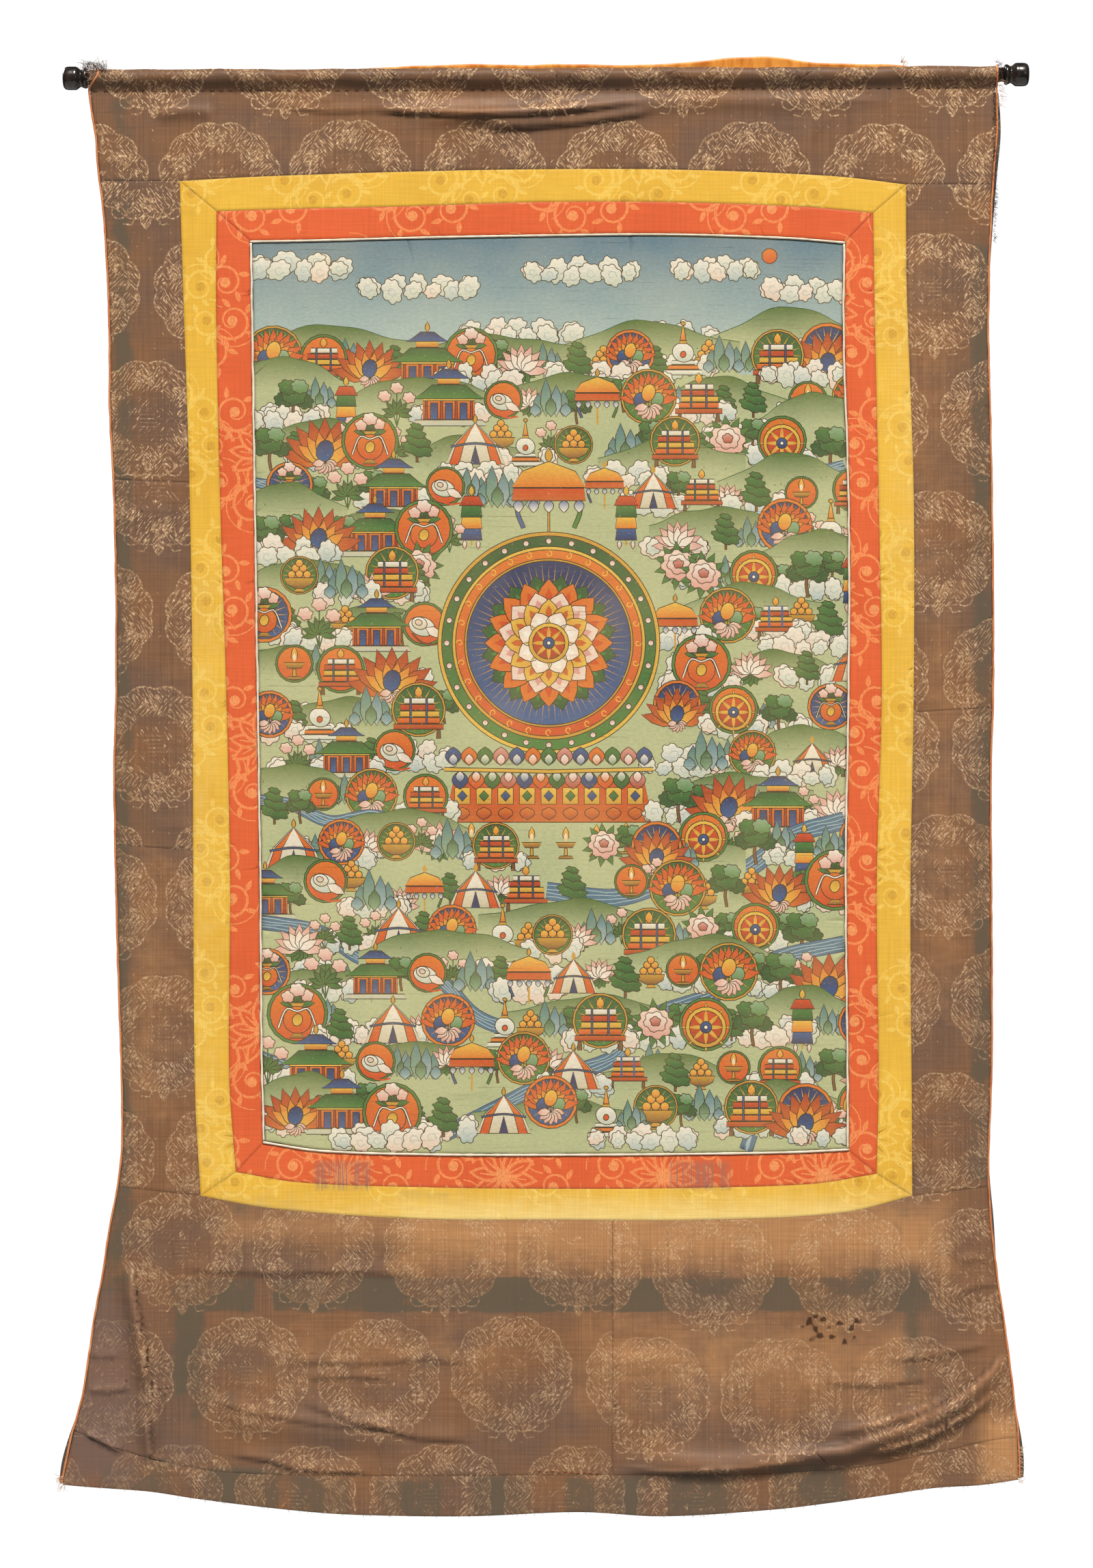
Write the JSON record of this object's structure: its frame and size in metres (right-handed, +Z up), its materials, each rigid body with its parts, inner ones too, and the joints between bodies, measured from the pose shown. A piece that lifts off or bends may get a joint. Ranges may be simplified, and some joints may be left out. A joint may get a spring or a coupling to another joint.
{
  "type": "thangka scroll painting on a wooden rod",
  "caption": "Painted scroll cloth in a brown brocade mount with yellow and orange silk borders, hanging from a dark wooden rod with turned knobs.",
  "frame": {"origin": "middle of the rod's axis, which is what the wall holds", "axes": "+X to the right along the rod, +Y from the face of the cloth to its back, +Z up"},
  "size_m": [0.8509, 0.0252, 1.2855],
  "materials": {
    "wood": "dark stained and polished",
    "brocade": "satin brocade with pale roundels, faded",
    "yellow_silk": "silk damask",
    "red_silk": "silk damask with a lighter scroll",
    "cream_piping": "plain cotton",
    "painted_cloth": "matt distemper on cotton",
    "orange_silk": "thin silk",
    "lining": "printed cotton"
  },
  "bodies": {
    "root": {"rod": "wood", "knob_left": "wood", "knob_right": "wood", "top_panel": "brocade", "left_panel_1": "brocade", "left_panel_2": "brocade", "left_panel_3": "brocade", "right_panel_1": "brocade", "right_panel_2": "brocade", "bottom_panel_left": "brocade", "bottom_panel_right": "brocade", "foot_band": "brocade", "yellow_top": "yellow_silk", "yellow_bottom": "yellow_silk", "yellow_left": "yellow_silk", "yellow_right": "yellow_silk", "red_top": "red_silk", "red_bottom": "red_silk", "red_left": "red_silk", "red_right": "red_silk", "cream_piping_top": "cream_piping", "cream_piping_bottom": "cream_piping", "cream_piping_left": "cream_piping", "cream_piping_right": "cream_piping", "painting": "painted_cloth", "side_piping_left": "orange_silk", "side_piping_right": "orange_silk", "lining": "lining", "veil": "orange_silk"}
  },
  "joints": []
}
